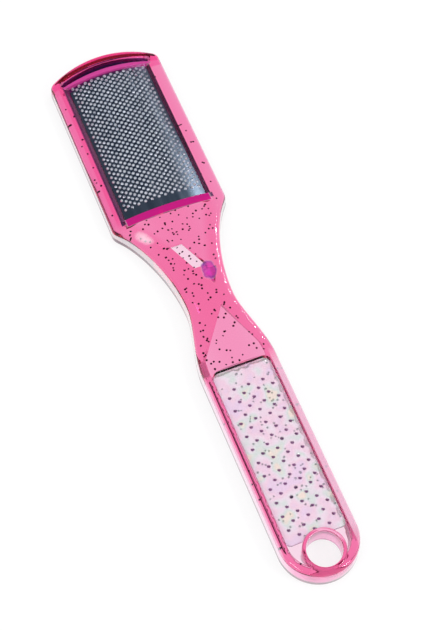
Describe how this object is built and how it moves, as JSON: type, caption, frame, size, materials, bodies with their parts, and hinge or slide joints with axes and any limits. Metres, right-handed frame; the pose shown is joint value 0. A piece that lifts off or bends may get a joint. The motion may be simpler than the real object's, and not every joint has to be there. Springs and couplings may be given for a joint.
{
  "type": "foot file",
  "caption": "Foot file: a clear pink moulded handle with an arched, pierced steel file plate in its head, a pale grip insert and a hanging hole.",
  "frame": {"origin": "middle of the back face, under the middle of the whole object", "axes": "+Z out of the file face, +Y from the grip to the head, +X to the right seen from the file face"},
  "size_m": [0.0516, 0.259, 0.0098],
  "materials": {
    "handle_plastic": "clear pink moulded plastic, glossy",
    "plate_steel": "dark bright steel, pierced",
    "inlay_plastic": "pale pearly clear plastic with pips",
    "glitter": "dark purple flakes cast in the plastic"
  },
  "bodies": {
    "root": {"handle": "handle_plastic", "file_plate": "plate_steel", "grip_inlay": "inlay_plastic", "glitter_flakes": "glitter"}
  },
  "joints": []
}
